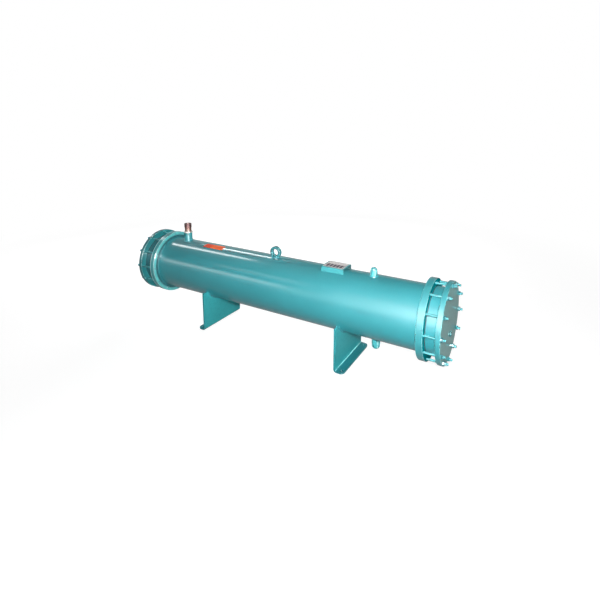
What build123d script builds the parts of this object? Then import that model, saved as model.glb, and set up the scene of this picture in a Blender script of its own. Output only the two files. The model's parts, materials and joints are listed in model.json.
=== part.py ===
# Water-cooled refrigerant condenser: a shell and tube heat exchanger on two bent-plate saddles.
# Millimetres, +Z up, +X along the shell to the return end, -Y the nameplate side.
# The origin lies on the floor, at the middle of the four saddle bolt holes.
from math import radians, sin, sqrt
import os

from build123d import *

os.makedirs("parts", exist_ok=True)

# Shell: a length of 10-inch pipe, and how deep a welded fitting's blank starts under its surface
shell_od = 273.0
shell_wall = 9.3
shell_length = 1405.0
blank_sink = 3.0
axis_height = 275.5

# Saddles: plate bent to an L, foot outwards, web coped to the shell
saddle_spacing = 738.0
saddle_to_left_end = 326.0
saddle_plate = 8.0
saddle_overhang = 7.5
saddle_foot = 46.0
saddle_bend = 5.0
saddle_corner = 18.0
saddle_wrap = 76.0
foot_hole_d = 14.0
foot_hole_edge = 14.5
foot_hole_inset = 19.0

# End plates: tube sheets and covers share one diameter and one bolt circle
tube_sheet_t = 28.0
cover_t = 20.0
plate_chamfer = 1.5
left_channel_gap = 67.0
right_channel_gap = 45.0
channel_wall = 9.3
gasket_t = 3.0
partition_t = 8.0
partition_gap = 0.3

# Studs through sheet, channel and cover
stud_count = 12
stud_d = 10.0
stud_to_barrel = 13.5
stud_to_rim = 12.0
stud_hole_play = 1.5
stud_tip = 6.0
stud_tail = 2.0
stud_chamfer = 1.5
nut_across_flats = 16.0
nut_height = 8.4
nut_corner = 1.4
nut_bore_play = 0.3

# Tubes, expanded into the sheets in two passes
tube_od = 25.4
tube_wall = 1.65
tube_pitch = 32.0
tube_hole_play = 0.3
tube_tip = 3.0
tube_rows_per_pass = 3
tube_edge_gap = 6.0

# Gas inlet: painted socket with a brazed copper stub
gas_to_left_end = 99.5
gas_socket_od = 43.0
gas_socket_rise = 47.5
gas_pipe_od = 35.0
gas_pipe_wall = 1.5
gas_seat_depth = 26.0
gas_stub_rise = 93.5
gas_bell_depth = 20.0
gas_bell_cone = 4.0
braze_gap = 0.15

# Relief boss on the crown and liquid outlet below, both blanked off
relief_to_right_end = 230.0
relief_od = 33.0
relief_bore = 15.0
relief_boss_height = 20.0
relief_height = 36.0
relief_taper = 1.5
liquid_to_right_end = 210.0
liquid_od = 37.0
liquid_bore = 22.0
liquid_boss_height = 32.0
liquid_height = 58.0
cap_spigot = 10.0
cap_play = 0.2
cap_step = 1.0
cap_flat = 3.0

# Lifting eye at the middle of the shell
eye_offset = -27.5
eye_od = 56.0
eye_bore = 32.0
eye_thickness = 12.0
eye_round = 3.5
eye_rise = 24.0
eye_collar_d = 28.0
eye_collar_rise = 6.0

# Nameplate and its channel-shaped stand
plate_to_right_end = 407.0
bracket_length = 107.0
bracket_width = 86.0
bracket_rise = 15.0
bracket_sheet = 2.5
bracket_bend = 2.5
nameplate_margin = 5.0
nameplate_t = 1.2

# Water sockets on the left cover, drain plug on the right one
water_socket_od = 70.0
water_bore = 57.0
water_socket_length = 43.0
water_offset = 72.0
socket_chamfer = 2.0
drain_plug_af = 19.0
drain_plug_head = 6.0
drain_plug_d = 16.0
drain_plug_y = 12.0
drain_plug_drop = 51.0
plug_play = 0.2

# Places worked out from the sizes above
shell_r = shell_od / 2
shell_ir = shell_r - shell_wall
crown = axis_height + shell_r
saddle_width = shell_od + 2 * saddle_overhang
bolt_circle_d = shell_od + 2 * stud_to_barrel + stud_d
end_plate_od = bolt_circle_d + 2 * stud_to_rim
shell_left = -saddle_spacing / 2 - saddle_to_left_end
shell_right = shell_left + shell_length
gas_x = shell_left + gas_to_left_end
relief_x = shell_right - relief_to_right_end
liquid_x = shell_right - liquid_to_right_end
plate_x = shell_right - plate_to_right_end
eye_x = (shell_left + shell_right) / 2 + eye_offset
stud_hole_d = stud_d + stud_hole_play
gas_pipe_id = gas_pipe_od - 2 * gas_pipe_wall


def across(x, facing=1):
    """Plane square to the shell's axis at x; facing 1 looks to +X, -1 to -X."""
    return Plane(origin=(x, 0, axis_height), x_dir=(0, facing, 0), z_dir=(facing, 0, 0))


def keep(builder, name):
    """Label a finished piece and write it."""
    builder.part.label = name
    export_step(builder.part, f"parts/{name}.step")


def upright(x, up=1):
    """Half-section plane of a fitting at x: local x is its radius, local y its distance from the axis."""
    return Plane(origin=(x, 0, axis_height), x_dir=(1, 0, 0), z_dir=(0, -up, 0))


def upright_axis(x):
    """Vertical centre line of a fitting at x."""
    return Axis((x, 0, axis_height), (0, 0, 1))


def foot_level(width):
    """Distance from the axis at which a piece of this width is surely inside the shell's surface."""
    return sqrt(shell_r**2 - (width / 2) ** 2) - blank_sink


def tube_places():
    """Tube centres about the axis: rows on a triangular pitch, above and below the partition."""
    places = []
    row_step = tube_pitch * sin(radians(60))
    field_r = shell_ir - tube_edge_gap - tube_od / 2
    for side in (1, -1):
        for row in range(tube_rows_per_pass):
            height = (partition_t + tube_pitch) / 2 + row * row_step
            half_row = sqrt(max(field_r**2 - height**2, 0))
            shift = (row % 2) * tube_pitch / 2
            reach = int((half_row - shift) // tube_pitch)
            columns = range(-reach - row % 2, reach + 1)
            places += [(column * tube_pitch + shift, side * height) for column in columns]
    return places


# The space that the shell takes up, cut out of every piece that is welded onto it
with BuildPart() as shell_space:
    with BuildSketch(across(shell_left)):
        Circle(shell_r)
    extrude(amount=shell_length)

# Shell, open at both ends, with holes under the three fittings
with BuildPart() as shell:
    with BuildSketch(across(shell_left)):
        Circle(shell_r)
        Circle(shell_ir, mode=Mode.SUBTRACT)
    extrude(amount=shell_length)
    with BuildSketch(Plane.XY.offset(axis_height)):
        with Locations((gas_x, 0)):
            Circle(gas_pipe_id / 2)
        with Locations((relief_x, 0)):
            Circle(relief_bore / 2)
    extrude(amount=shell_od, mode=Mode.SUBTRACT)
    with BuildSketch(Plane.XY.offset(axis_height)):
        with Locations((liquid_x, 0)):
            Circle(liquid_bore / 2)
    extrude(amount=-shell_od, mode=Mode.SUBTRACT)
keep(shell, "shell")

# One hexagon nut, its corners turned to a cone at the outer end
nut_corner_r = nut_across_flats / sqrt(3)
with BuildPart() as nut:
    with BuildSketch():
        RegularPolygon(nut_across_flats / 2, 6, major_radius=False)
        Circle((stud_d + nut_bore_play) / 2, mode=Mode.SUBTRACT)
    extrude(amount=nut_height)
    with BuildSketch(Plane.XZ):
        with BuildLine():
            Polyline(
                (0, 0),
                (nut_corner_r, 0),
                (nut_corner_r, nut_height - nut_corner),
                (nut_across_flats / 2 - nut_corner / 2, nut_height),
                (0, nut_height),
                close=True,
            )
        make_face()
    revolve(axis=Axis.Z, mode=Mode.INTERSECT)

# Both ends are stacked outwards from the shell: sheet, gasket, channel, gasket, cover, nuts
ends = (("left", shell_left, -1, left_channel_gap), ("right", shell_right, 1, right_channel_gap))
for side, start, out, gap in ends:
    sheet_face = start + out * tube_sheet_t
    cover_seat = sheet_face + out * gap
    cover_face = cover_seat + out * cover_t

    with BuildPart() as tube_sheet:
        with BuildSketch(across(start, out)):
            Circle(end_plate_od / 2)
        extrude(amount=tube_sheet_t)
        rims = tube_sheet.edges().filter_by(GeomType.CIRCLE)
        chamfer(rims, plate_chamfer)
        with BuildSketch(across(start, out)):
            with PolarLocations(bolt_circle_d / 2, stud_count, start_angle=90):
                Circle(stud_hole_d / 2)
            with Locations(*tube_places()):
                Circle((tube_od + tube_hole_play) / 2)
        extrude(amount=tube_sheet_t, mode=Mode.SUBTRACT)
    keep(tube_sheet, f"{side}_tube_sheet")

    with BuildPart() as channel_barrel:
        with BuildSketch(across(sheet_face + out * gasket_t, out)):
            Circle(shell_r)
            Circle(shell_r - channel_wall, mode=Mode.SUBTRACT)
        extrude(amount=gap - 2 * gasket_t)
    keep(channel_barrel, f"{side}_channel_barrel")

    for seat, seat_x in (("sheet", sheet_face), ("cover", cover_seat - out * gasket_t)):
        with BuildPart() as gasket:
            with BuildSketch(across(seat_x, out)):
                Circle(shell_r)
                Circle(shell_r - channel_wall, mode=Mode.SUBTRACT)
            extrude(amount=gasket_t)
        keep(gasket, f"{side}_{seat}_gasket")

    with BuildPart() as cover:
        with BuildSketch(across(cover_seat, out)):
            Circle(end_plate_od / 2)
        extrude(amount=cover_t)
        rims = cover.edges().filter_by(GeomType.CIRCLE)
        chamfer(rims, plate_chamfer)
        with BuildSketch(across(cover_seat, out)):
            with PolarLocations(bolt_circle_d / 2, stud_count, start_angle=90):
                Circle(stud_hole_d / 2)
            if side == "left":
                with Locations((0, water_offset), (0, -water_offset)):
                    Circle(water_bore / 2)
            else:
                with Locations((drain_plug_y, -drain_plug_drop)):
                    Circle((drain_plug_d + plug_play) / 2)
        extrude(amount=cover_t, mode=Mode.SUBTRACT)
    keep(cover, f"{side}_cover")

    with BuildPart() as studs:
        with BuildSketch(across(start - out * stud_tail, out)):
            with PolarLocations(bolt_circle_d / 2, stud_count, start_angle=90):
                Circle(stud_d / 2)
        extrude(amount=stud_tail + tube_sheet_t + gap + cover_t + nut_height + stud_tip)
        chamfer(studs.edges().filter_by(GeomType.CIRCLE), stud_chamfer)
    keep(studs, f"{side}_studs")

    with BuildPart(across(cover_face, out)) as nuts:
        with PolarLocations(bolt_circle_d / 2, stud_count, start_angle=90):
            add(nut.part)
    keep(nuts, f"{side}_nuts")

# Partition in the left channel, between the incoming and the outgoing water
left_sheet_face = shell_left - tube_sheet_t
left_cover_seat = left_sheet_face - left_channel_gap
left_cover_face = left_cover_seat - cover_t
with BuildPart() as pass_partition:
    with BuildSketch(across(left_sheet_face - tube_tip - partition_gap, -1)):
        Rectangle(2 * (shell_r - channel_wall - partition_gap), partition_t)
    extrude(amount=left_channel_gap - tube_tip - partition_gap)
keep(pass_partition, "pass_partition")

# Tube bundle, from the face of one sheet to the face of the other
with BuildPart() as tube_bundle:
    with BuildSketch(across(left_sheet_face - tube_tip)):
        with Locations(*tube_places()):
            Circle(tube_od / 2)
            Circle(tube_od / 2 - tube_wall, mode=Mode.SUBTRACT)
    extrude(amount=shell_length + 2 * (tube_sheet_t + tube_tip))
keep(tube_bundle, "tube_bundle")

# Saddles: a strip bent to an L, coped at the top, with rounded toes and two bolt holes
for side, out in (("left", -1), ("right", 1)):
    web_x = out * saddle_spacing / 2
    toe_x = web_x + out * (saddle_foot - saddle_plate / 2)
    with BuildPart() as saddle:
        with BuildSketch(Plane.XZ.offset(-saddle_width / 2)):
            with BuildLine():
                FilletPolyline(
                    (web_x, axis_height - saddle_wrap),
                    (web_x, saddle_plate / 2),
                    (toe_x, saddle_plate / 2),
                    radius=saddle_bend + saddle_plate / 2,
                )
            trace(line_width=saddle_plate)
        extrude(amount=saddle_width)
        toes = saddle.edges().filter_by(Axis.Z).group_by(Axis.X)[0 if out < 0 else -1]
        fillet(toes, saddle_corner)
        add(shell_space.part, mode=Mode.SUBTRACT)
        with BuildSketch(Plane.XY):
            hole_x = toe_x - out * foot_hole_edge
            hole_y = saddle_width / 2 - foot_hole_inset
            with Locations((hole_x, hole_y), (hole_x, -hole_y)):
                Circle(foot_hole_d / 2)
        extrude(amount=saddle_plate, mode=Mode.SUBTRACT)
    keep(saddle, f"{side}_saddle")

# Gas inlet socket, bored to a shoulder for the copper stub
gas_foot = foot_level(gas_socket_od)
gas_socket_top = shell_r + gas_socket_rise
gas_shoulder = gas_socket_top - gas_seat_depth
gas_seat_r = gas_pipe_od / 2 + braze_gap
with BuildPart() as gas_inlet_socket:
    with BuildSketch(upright(gas_x)):
        with BuildLine():
            Polyline(
                (gas_pipe_id / 2, gas_foot),
                (gas_socket_od / 2, gas_foot),
                (gas_socket_od / 2, gas_socket_top),
                (gas_seat_r, gas_socket_top),
                (gas_seat_r, gas_shoulder),
                (gas_pipe_id / 2, gas_shoulder),
                close=True,
            )
        make_face()
    revolve(axis=upright_axis(gas_x))
    add(shell_space.part, mode=Mode.SUBTRACT)
keep(gas_inlet_socket, "gas_inlet_socket")

# Copper stub with a belled mouth that takes a pipe of its own size
bell_r = gas_seat_r + gas_pipe_wall
gas_stub_top = shell_r + gas_stub_rise
bell_low = gas_stub_top - gas_bell_depth
with BuildPart() as gas_inlet_stub:
    with BuildSketch(upright(gas_x)):
        with BuildLine():
            Polyline(
                (gas_pipe_id / 2, gas_shoulder),
                (gas_pipe_od / 2, gas_shoulder),
                (gas_pipe_od / 2, bell_low - gas_bell_cone),
                (bell_r, bell_low),
                (bell_r, gas_stub_top),
                (gas_seat_r, gas_stub_top),
                (gas_seat_r, bell_low),
                (gas_pipe_id / 2, bell_low - gas_bell_cone),
                close=True,
            )
        make_face()
    revolve(axis=upright_axis(gas_x))
keep(gas_inlet_stub, "gas_inlet_stub")

# Blanked fittings: a bored boss on the shell and a domed cap whose spigot closes it
fittings = (
    ("relief", relief_x, 1, relief_od, relief_taper, relief_bore, relief_boss_height, relief_height),
    ("liquid_outlet", liquid_x, -1, liquid_od, 0, liquid_bore, liquid_boss_height, liquid_height),
)
for name, place, up, base_d, taper, bore, boss_rise, full_rise in fittings:
    boss_top = shell_r + boss_rise
    cap_r = base_d / 2 - taper - cap_step
    cap_rise = full_rise - boss_rise

    with BuildPart() as boss:
        with BuildSketch(upright(place, up)):
            with BuildLine():
                Polyline(
                    (bore / 2, foot_level(base_d)),
                    (base_d / 2, foot_level(base_d)),
                    (base_d / 2, shell_r),
                    (base_d / 2 - taper, boss_top),
                    (bore / 2, boss_top),
                    close=True,
                )
            make_face()
        revolve(axis=upright_axis(place))
        add(shell_space.part, mode=Mode.SUBTRACT)
    keep(boss, f"{name}_boss")

    with BuildPart() as cap:
        with BuildSketch(upright(place, up)):
            with BuildLine():
                Polyline(
                    (0, boss_top - cap_spigot),
                    (bore / 2 - cap_play, boss_top - cap_spigot),
                    (bore / 2 - cap_play, boss_top),
                    (cap_r, boss_top),
                    (cap_r, boss_top + cap_rise),
                    (0, boss_top + cap_rise),
                    close=True,
                )
            make_face()
        revolve(axis=upright_axis(place))
        crest = cap.edges().group_by(Axis.Z)[-1 if up > 0 else 0]
        fillet(crest, min(cap_r, cap_rise) - cap_flat)
    keep(cap, f"{name}_cap")

# Lifting eye: a ring with rounded edges on a short collar
with BuildPart() as lifting_eye:
    with BuildSketch(Plane(origin=(eye_x, 0, crown + eye_rise), x_dir=(1, 0, 0), z_dir=(0, -1, 0))):
        Circle(eye_od / 2)
        Circle(eye_bore / 2, mode=Mode.SUBTRACT)
    extrude(amount=eye_thickness / 2, both=True)
    fillet(lifting_eye.edges().filter_by(GeomType.CIRCLE), eye_round)
    with BuildSketch(Plane.XY.offset(axis_height + foot_level(eye_collar_d))):
        with Locations((eye_x, 0)):
            Circle(eye_collar_d / 2)
    extrude(amount=shell_r + eye_collar_rise - foot_level(eye_collar_d))
    add(shell_space.part, mode=Mode.SUBTRACT)
keep(lifting_eye, "lifting_eye")

# Nameplate stand: sheet bent to a channel, its legs cut to the curve of the shell
bracket_top = shell_r + bracket_rise
leg_y = (bracket_width - bracket_sheet) / 2
with BuildPart() as nameplate_bracket:
    with BuildSketch(across(plate_x - bracket_length / 2)):
        with BuildLine():
            FilletPolyline(
                (-leg_y, foot_level(bracket_width)),
                (-leg_y, bracket_top - bracket_sheet / 2),
                (leg_y, bracket_top - bracket_sheet / 2),
                (leg_y, foot_level(bracket_width)),
                radius=bracket_bend + bracket_sheet / 2,
            )
        trace(line_width=bracket_sheet)
    extrude(amount=bracket_length)
    add(shell_space.part, mode=Mode.SUBTRACT)
keep(nameplate_bracket, "nameplate_bracket")

with BuildPart() as nameplate:
    with BuildSketch(Plane.XY.offset(axis_height + bracket_top)):
        with Locations((plate_x, 0)):
            RectangleRounded(
                bracket_length - 2 * nameplate_margin, bracket_width - 2 * nameplate_margin, nameplate_margin
            )
    extrude(amount=nameplate_t)
keep(nameplate, "nameplate")

# Water sockets: half couplings welded on the left cover, inlet below the partition
for name, height in (("water_inlet_socket", -water_offset), ("water_outlet_socket", water_offset)):
    with BuildPart() as water_socket:
        with BuildSketch(across(left_cover_face, -1)):
            with Locations((0, height)):
                Circle(water_socket_od / 2)
        extrude(amount=water_socket_length)
        chamfer(water_socket.edges().group_by(Axis.X)[0], socket_chamfer)
        with BuildSketch(across(left_cover_face, -1)):
            with Locations((0, height)):
                Circle(water_bore / 2)
        extrude(amount=water_socket_length, mode=Mode.SUBTRACT)
    keep(water_socket, name)

# Drain plug in the right cover
right_cover_seat = shell_right + tube_sheet_t + right_channel_gap
with BuildPart() as drain_plug:
    with BuildSketch(across(right_cover_seat)):
        with Locations((drain_plug_y, -drain_plug_drop)):
            Circle(drain_plug_d / 2)
    extrude(amount=cover_t)
    with BuildSketch(across(right_cover_seat + cover_t)):
        with Locations((drain_plug_y, -drain_plug_drop)):
            RegularPolygon(drain_plug_af / 2, 6, major_radius=False)
    extrude(amount=drain_plug_head)
keep(drain_plug, "drain_plug")
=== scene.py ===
# %% [markdown]
# # Dressing a water-cooled condenser
# The CAD frame holds every plate, pipe, stud and saddle of this shell and tube heat exchanger at its
# real size, in metres, with +Z up, +X to the right end and -Y towards the camera. This lesson gives
# those solids their finish and adds what a drawing leaves out: weld beads, threads and labels.
# Nothing from the CAD is moved, so each new piece takes its place from the frame's own boxes.

# %% Load the frame
import json
from math import atan2, cos, pi, radians, sin, sqrt

import bpy
from mathutils import Euler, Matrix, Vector


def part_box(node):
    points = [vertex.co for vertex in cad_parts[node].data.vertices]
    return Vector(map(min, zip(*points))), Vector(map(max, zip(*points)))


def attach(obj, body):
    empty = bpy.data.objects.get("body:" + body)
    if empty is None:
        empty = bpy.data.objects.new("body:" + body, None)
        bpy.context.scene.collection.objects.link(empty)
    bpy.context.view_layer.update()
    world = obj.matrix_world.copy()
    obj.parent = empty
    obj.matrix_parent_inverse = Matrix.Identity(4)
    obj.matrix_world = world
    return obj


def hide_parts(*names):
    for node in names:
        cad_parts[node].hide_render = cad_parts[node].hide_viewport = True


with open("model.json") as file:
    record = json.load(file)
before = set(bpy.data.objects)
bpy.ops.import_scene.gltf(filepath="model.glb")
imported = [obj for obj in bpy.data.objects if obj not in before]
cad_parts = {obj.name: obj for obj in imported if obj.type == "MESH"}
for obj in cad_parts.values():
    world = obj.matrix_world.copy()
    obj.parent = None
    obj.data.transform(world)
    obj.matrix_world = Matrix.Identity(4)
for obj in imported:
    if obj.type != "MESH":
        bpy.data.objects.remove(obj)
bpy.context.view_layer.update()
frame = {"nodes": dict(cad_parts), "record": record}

MM = 0.001

# %% [markdown]
# ## Sizes read from the frame
# The shell is a round pipe along X, so its box gives the radius, the axis height and both ends.
# Every weld, thread and label below is worked out from these few values.

# %% Read the main sizes
shell_low, shell_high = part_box("shell")
SHELL_R = (shell_high.z - shell_low.z) / 2
AXIS_Z = (shell_high.z + shell_low.z) / 2
SHELL_LEFT = shell_low.x
SHELL_RIGHT = shell_high.x
CROWN_Z = AXIS_Z + SHELL_R
print(f"shell radius {SHELL_R:.4f} m, axis {AXIS_Z:.4f} m up, from {SHELL_LEFT:.3f} to {SHELL_RIGHT:.3f}")

# %% [markdown]
# ## Camera
# The photograph was taken from the right, a little above the shell, with a wide lens close by: the
# right end looks twice as large as the left one. The place, angle and lens were matched to the
# outline of the shell, the plates and the saddles. The image is a cut-out set low on its canvas, so
# the optical axis lies above the middle, which is what the vertical shift says.

# %% Set the camera
CAMERA_PLACE = (1.10215, -1.67219, 1.06964)
CAMERA_YAW = -0.5332
CAMERA_PITCH = -0.1862
IMAGE_SIDE = 600
FOCAL_PIXELS = 433.8
AXIS_ROW = 200
SENSOR_MM = 36.0

camera_data = bpy.data.cameras.new("photo_camera")
camera = bpy.data.objects.new("photo_camera", camera_data)
bpy.context.scene.collection.objects.link(camera)
camera.location = CAMERA_PLACE
camera.rotation_euler = Euler((pi / 2 + CAMERA_PITCH, 0, -CAMERA_YAW), "XYZ")
camera_data.sensor_width = SENSOR_MM
camera_data.lens = FOCAL_PIXELS / IMAGE_SIDE * SENSOR_MM
camera_data.shift_y = (AXIS_ROW - IMAGE_SIDE / 2) / IMAGE_SIDE
camera_data.clip_end = 100
bpy.context.scene.camera = camera
print(f"lens {camera_data.lens:.2f} mm, shift {camera_data.shift_y:.3f}")

# %% [markdown]
# ## Small tools
# One function turns an sRGB hex colour to the linear values that a shader wants. One function adds a
# node: a setting goes on the node, and an input takes a plain value, a hex colour, or the node or socket
# that feeds it. Of a node it takes the one output that the node's settings leave in use.
# A material starts with Object coordinates, which are metres on the vessel, and ends at its output.
# Drawing, milling and brushing all leave fine parallel lines, so that texture is written once too.

# %% Colour and node helpers
NODE_START = "ShaderNode"


def linear(hex_colour):
    """Linear RGBA of an sRGB colour such as 2B8F97."""
    shares = [int(hex_colour[i:i + 2], 16) / 255 for i in (0, 2, 4)]
    return [s / 12.92 if s <= 0.04045 else ((s + 0.055) / 1.055) ** 2.4 for s in shares] + [1.0]


def add_node(tree, kind, inputs=None, **settings):
    """One shader node; inputs maps each socket to a value, a hex colour, or a node or socket to link."""
    node = tree.nodes.new(NODE_START + kind)
    for name, value in settings.items():
        setattr(node, name, value)
    for socket, value in (inputs or {}).items():
        if isinstance(value, bpy.types.Node):
            value = next(output for output in value.outputs if output.enabled)
        if isinstance(value, bpy.types.NodeSocket):
            tree.links.new(value, node.inputs[socket])
        else:
            node.inputs[socket].default_value = linear(value) if isinstance(value, str) else value
    return node


def new_material(name):
    """An empty node material, its tree and the Object coordinates in it."""
    material = bpy.data.materials.new(name)
    material.use_nodes = True
    tree = material.node_tree
    tree.nodes.clear()
    return material, tree, add_node(tree, "TexCoord").outputs["Object"]


def finish_material(material, shader):
    """Put the last shader on the material's output."""
    add_node(material.node_tree, "OutputMaterial", {"Surface": shader})
    print("made", material.name)
    return material


def streaks(tree, place, squeeze, width):
    """Noise in streaks of one width, drawn out along the axis that squeeze makes small."""
    drawn = add_node(tree, "Mapping", {"Vector": place, "Scale": squeeze})
    return add_node(tree, "TexNoise", {"Vector": drawn, "Scale": 1 / width, "Detail": 2.0})


# %% [markdown]
# ## Studio world
# The picture is a cut-out on white, so the camera sees plain white all round. Glossy paint needs a
# room to mirror, though, so glossy rays see another one: a white wall in front, a grey wall behind and
# a dark ceiling, which keep the top of the shell from washing out in the photograph's view. Diffuse rays
# get a faint even fill. The walls could be modelled, but three tones on a ray's direction do the same.

# %% World
WHITE = "FFFFFF"
FRONT_WALL, BACK_WALL, CEILING = WHITE, "A8A6A0", "1C2022"
BACK_FROM, BACK_FULL = -0.15, 0.35
CEILING_FROM, CEILING_FULL = 0.26, 0.45
FILL_TONE, FILL_LEVEL = "F4F8FA", 0.045
scene = bpy.context.scene
scene.view_settings.view_transform = "Standard"
world = bpy.data.worlds.new("studio_sweep")
scene.world = world
world.use_nodes = True
tree = world.node_tree
tree.nodes.clear()
direction = add_node(tree, "TexCoord")
axes = add_node(tree, "SeparateXYZ", {0: direction.outputs["Generated"]})
behind = add_node(tree, "MapRange",
                  {"Value": axes.outputs["Y"], "From Min": BACK_FROM, "From Max": BACK_FULL},
                  interpolation_type="SMOOTHSTEP")
walls = add_node(tree, "Mix", {0: behind, 6: FRONT_WALL, 7: BACK_WALL}, data_type="RGBA")
overhead = add_node(tree, "MapRange",
                    {"Value": axes.outputs["Z"], "From Min": CEILING_FROM, "From Max": CEILING_FULL},
                    interpolation_type="SMOOTHSTEP")
mirrored_room = add_node(tree, "Mix", {0: overhead, 6: walls, 7: CEILING}, data_type="RGBA")
path = add_node(tree, "LightPath")
direct = add_node(tree, "Math",
                  {0: path.outputs["Is Camera Ray"], 1: path.outputs["Is Transmission Ray"]},
                  operation="MAXIMUM")
shown = add_node(tree, "Mix", {0: direct, 6: mirrored_room, 7: WHITE}, data_type="RGBA")
seen = add_node(tree, "Math", {0: direct, 1: path.outputs["Is Glossy Ray"]}, operation="MAXIMUM")
fill = add_node(tree, "Background", {"Color": FILL_TONE, "Strength": FILL_LEVEL})
backdrop = add_node(tree, "Background", {"Color": shown, "Strength": 1.0})
sky = add_node(tree, "MixShader", {0: seen, 1: fill, 2: backdrop})
add_node(tree, "OutputWorld", {"Surface": sky})
print("world set, fill level", FILL_LEVEL)

# %% [markdown]
# ## Studio floor
# The floor has to look white and still keep the vessel's shadow. A matt white plane would need far more
# light than the paint can stand, so near the vessel the plane glows a little by itself and a thin matt
# share on top of the glow takes the shadow, and further out it turns to plain white. Paint that mirrors
# the floor sees only a part of that, and what the floor throws back on the vessel is a plain grey.

# %% Floor
FLOOR_SIDE = 60.0
FLOOR_GAP = 0.5 * MM
SHADOW_REACH = (1.2, 3.2)
GLOW_LEVEL = 0.84
SHADOW_SHARE = 0.28
MIRROR_SHARE = 0.30
BOUNCE_TONE = "4C4E4E"
material, tree, place = new_material("matt white studio floor")
away = add_node(tree, "VectorMath", {0: place}, operation="LENGTH")
far = add_node(tree, "MapRange",
               {"Value": away, "From Min": SHADOW_REACH[0], "From Max": SHADOW_REACH[1]},
               interpolation_type="SMOOTHSTEP")
path = add_node(tree, "LightPath")
mirrored = add_node(tree, "Math",
                    {0: path.outputs["Is Glossy Ray"], 1: MIRROR_SHARE}, operation="MULTIPLY")
direct = add_node(tree, "Math",
                  {0: path.outputs["Is Camera Ray"], 1: path.outputs["Is Transmission Ray"]},
                  operation="MAXIMUM")
shown = add_node(tree, "Math", {0: mirrored, 1: direct}, operation="MAXIMUM")
white = add_node(tree, "Emission", {"Color": WHITE, "Strength": 1.0})
glow = add_node(tree, "Emission", {"Color": WHITE, "Strength": GLOW_LEVEL})
matt = add_node(tree, "BsdfDiffuse", {"Color": [SHADOW_SHARE] * 3 + [1.0]})
near = add_node(tree, "AddShader", {0: glow, 1: matt})
seen = add_node(tree, "MixShader", {0: far, 1: near, 2: white})
bounce = add_node(tree, "BsdfDiffuse", {"Color": BOUNCE_TONE})
floor_mix = add_node(tree, "MixShader", {0: shown, 1: bounce, 2: seen})
finish_material(material, floor_mix)
bpy.ops.object.select_all(action="DESELECT")
bpy.ops.mesh.primitive_plane_add(size=FLOOR_SIDE, location=(0, 0, -FLOOR_GAP))
floor = bpy.context.object
floor.name = "studio_floor"
floor.data.materials.append(material)
print("floor side", FLOOR_SIDE, "m")

# %% [markdown]
# ## Lamps
# The key light is a flash beside the camera, as in the photograph. Two soft lamps, behind and at the
# left end, light what the flash can't reach, and they are kept out of reflections. The bright marks on
# the paint are the flash, a softbox, a window and ceiling tubes mirrored in it. Each of those is a lamp
# that diffuse rays don't see, so it draws its mark at the right place and adds no light to the colour.

# %% Lamps
def area_lamp(name, place, facing_x, size, power):
    """A soft white rectangular lamp at place, facing the shell axis at facing_x."""
    data = bpy.data.lights.new(name, "AREA")
    data.shape = "RECTANGLE"
    data.size, data.size_y = size
    data.energy = power
    lamp = bpy.data.objects.new(name, data)
    lamp.location = place
    aim = Vector((facing_x, 0, AXIS_Z)) - Vector(place)
    lamp.rotation_euler = aim.to_track_quat("-Z", "Y").to_euler()
    scene.collection.objects.link(lamp)
    return lamp


area_lamp("key_flash", (1.05, -1.50, 1.08), 0.72, (0.3, 0.25), 46.5)
back_flash = area_lamp("back_flash", (-0.9, 2.3, 1.0), -0.2, (1.2, 0.8), 55)
end_flash = area_lamp("end_flash", (-2.4, 0.7, 0.8), -0.81, (0.8, 0.6), 16)
for lamp in (back_flash, end_flash):
    lamp.visible_glossy = False
reflections = [
    area_lamp("flash_glint", (1.25, -1.64, 1.05), 0.3, (0.7, 0.7), 260),
    area_lamp("front_softbox", (0.5, -2.4, 1.55), 0.5, (2.6, 1.9), 14),
    area_lamp("ceiling_tube_back", (-2.05, 1.85, 2.05), -2.05, (1.13, 0.22), 11),
    area_lamp("ceiling_tube_near", (-2.65, 0.43, 2.54), -2.65, (1.95, 0.36), 26),
    area_lamp("ceiling_tube_front", (-1.95, -2.08, 2.43), -1.95, (1.33, 0.60), 4.5),
    area_lamp("window_strip", (-3.45, -3.8, 1.51), -3.45, (2.6, 0.80), 25),
]
for lamp in reflections:
    lamp.visible_diffuse = False

# %% [markdown]
# ## Alkyd enamel on steel
# The whole vessel is sprayed with one coat of teal alkyd enamel. It is a glossy paint on rolled pipe
# and plate, so it shows a soft broad sheen with a sharper skin on top, the slow waviness of rolled
# pipe and a fine orange peel from the spray gun. A flat colour would look like plastic, so two close
# shades drift into each other over hand-wide patches, and a little dust dulls what faces up.
#
# The coat is not the same everywhere. Chamfered edges are pale, which is a painted highlight broken
# up by chipped wear; the flat ends of turned plates take a tone of their own and can be dull, and on
# some parts that tone is painted light; the corner beside the shell is painted shade, and so is the
# dark teal in the last few millimetres above the floor. Each of these places is found from the way the
# surface faces and from where it lies, so one recipe with a few tones serves every kind of part.

# %% Colour of the coat
PATCH_SIZE, SPECK_SIZE = 220 * MM, 9 * MM
# Painted shade in the corner beside the shell, out to this distance from the axis.
CORNER_SHADE_REACH = (SHELL_R + 10 * MM, SHELL_R + 18 * MM)
END_FACE_FROM, END_FACE_FULL = 0.85, 0.95
CHAMFER_SLANT = 0.70
SMUDGE_SHARE = 0.35
DUST_TONE, DUST_SHARE = "8FA9A6", 0.16
# Painted shade near the floor: the last few millimetres turn dark teal.
LOW_SHADE_TONE, LOW_SHADE_SHARE = "0A6068", 0.7
LOW_SHADE_TOP, LOW_SHADE_BOTTOM = 9.4 * MM, 8.2 * MM


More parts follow.
